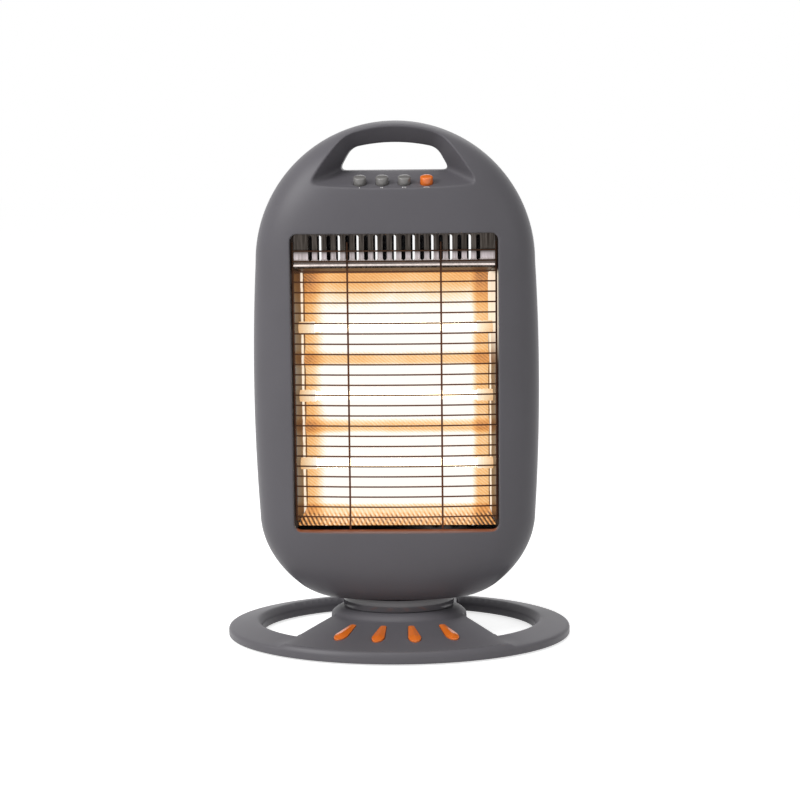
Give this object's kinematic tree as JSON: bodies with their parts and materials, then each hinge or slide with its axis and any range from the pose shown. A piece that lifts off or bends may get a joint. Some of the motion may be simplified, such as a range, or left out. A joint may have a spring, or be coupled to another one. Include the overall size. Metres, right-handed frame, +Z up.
{
  "type": "halogen heater",
  "caption": "Free-standing halogen heater: capsule-shaped body with quartz lamps behind a wire guard, swinging on an oval ring base, with push buttons under its handle.",
  "frame": {"origin": "on the floor under the swivel axis, at the middle of the oval base", "axes": "+Z up, the window faces -Y, +X to the right seen from the front"},
  "size_m": [0.38, 0.287, 0.567],
  "materials": {
    "grey_plastic": "satin moulded ABS",
    "button_grey": "satin",
    "accent_orange": "semi-gloss",
    "bright_aluminium": "bright, stuccoed",
    "sheet_steel": "plain sheet",
    "screw_steel": "zinc plated",
    "guard_wire": "dark nickel",
    "quartz": "clear",
    "filament_glow": "glowing",
    "ceramic": "steatite",
    "rubber": "matte",
    "black_plastic": "moulded",
    "nylon": "moulded"
  },
  "bodies": {
    "base": {"base_ring": "grey_plastic", "base_bottom_plate": "black_plastic", "tip_switch": "black_plastic", "swivel_bush": "nylon", "accent_insert_1": "accent_orange", "accent_insert_2": "accent_orange", "accent_insert_3": "accent_orange", "accent_insert_4": "accent_orange", "foot_1": "rubber", "foot_2": "rubber", "foot_3": "rubber", "foot_4": "rubber", "base_screw_1": "screw_steel", "base_screw_2": "screw_steel", "base_screw_3": "screw_steel", "base_screw_4": "screw_steel"},
    "heater_body": {"front_shell": "grey_plastic", "rear_shell": "grey_plastic", "swivel_collar": "grey_plastic", "collar_screw_1": "screw_steel", "shell_screw_1": "screw_steel", "collar_screw_2": "screw_steel", "shell_screw_2": "screw_steel", "collar_screw_3": "screw_steel", "shell_screw_3": "screw_steel", "collar_screw_4": "screw_steel", "shell_screw_4": "screw_steel", "reflector": "bright_aluminium", "end_plate_left": "bright_aluminium", "end_plate_right": "bright_aluminium", "vent_plate": "bright_aluminium", "heat_shield": "sheet_steel", "guard_grille": "guard_wire", "swing_motor": "sheet_steel", "swivel_washer": "sheet_steel", "swivel_clip": "sheet_steel", "switch_bank": "black_plastic", "cord_gland": "black_plastic", "thermal_cutout": "black_plastic", "terminal_block": "ceramic", "lamp_tube_1": "quartz", "filament_1": "filament_glow", "lamp_cap_1_left": "ceramic", "lamp_cap_1_right": "ceramic", "lamp_tube_2": "quartz", "filament_2": "filament_glow", "lamp_cap_2_left": "ceramic", "lamp_cap_2_right": "ceramic", "lamp_tube_3": "quartz", "filament_3": "filament_glow", "lamp_cap_3_left": "ceramic", "lamp_cap_3_right": "ceramic"},
    "crank": {"drive_crank": "nylon", "motor_shaft": "sheet_steel"},
    "heat_button_1": {"heat_button_1": "button_grey"},
    "heat_button_2": {"heat_button_2": "button_grey"},
    "heat_button_3": {"heat_button_3": "button_grey"},
    "swing_button": {"swing_button": "accent_orange"},
    "tip_plunger": {"tip_plunger": "nylon"}
  },
  "joints": [
    {"name": "body_swing", "type": "hinge", "parent": "base", "child": "heater_body", "pos_m": [0, 0, 0.039], "axis": [0, 0, 1], "range_deg": [-35, 35]},
    {"name": "crank_turn", "type": "hinge", "parent": "heater_body", "child": "crank", "pos_m": [0, -0.022, 0.0375], "axis": [0, 0, 1], "range_deg": [-125, 125]},
    {"name": "heat_button_1_press", "type": "slide", "parent": "heater_body", "child": "heat_button_1", "axis": [0, 0.3511, -0.9363], "range_m": [0, 0.0035], "stiffness_N_per_m": 250, "springref_m": -0.002},
    {"name": "heat_button_2_press", "type": "slide", "parent": "heater_body", "child": "heat_button_2", "axis": [0, 0.3511, -0.9363], "range_m": [0, 0.0035], "stiffness_N_per_m": 250, "springref_m": -0.002},
    {"name": "heat_button_3_press", "type": "slide", "parent": "heater_body", "child": "heat_button_3", "axis": [0, 0.3511, -0.9363], "range_m": [0, 0.0035], "stiffness_N_per_m": 250, "springref_m": -0.002},
    {"name": "swing_button_press", "type": "slide", "parent": "heater_body", "child": "swing_button", "axis": [0, 0.3511, -0.9363], "range_m": [0, 0.0035], "stiffness_N_per_m": 250, "springref_m": -0.002},
    {"name": "tip_plunger_travel", "type": "slide", "parent": "base", "child": "tip_plunger", "axis": [0, 0, -1], "range_m": [0, 0.005], "stiffness_N_per_m": 60, "springref_m": 0.008}
  ],
  "couplings": [
    {"joint": "crank_turn", "follows": "body_swing", "ratio": -3.5714}
  ]
}
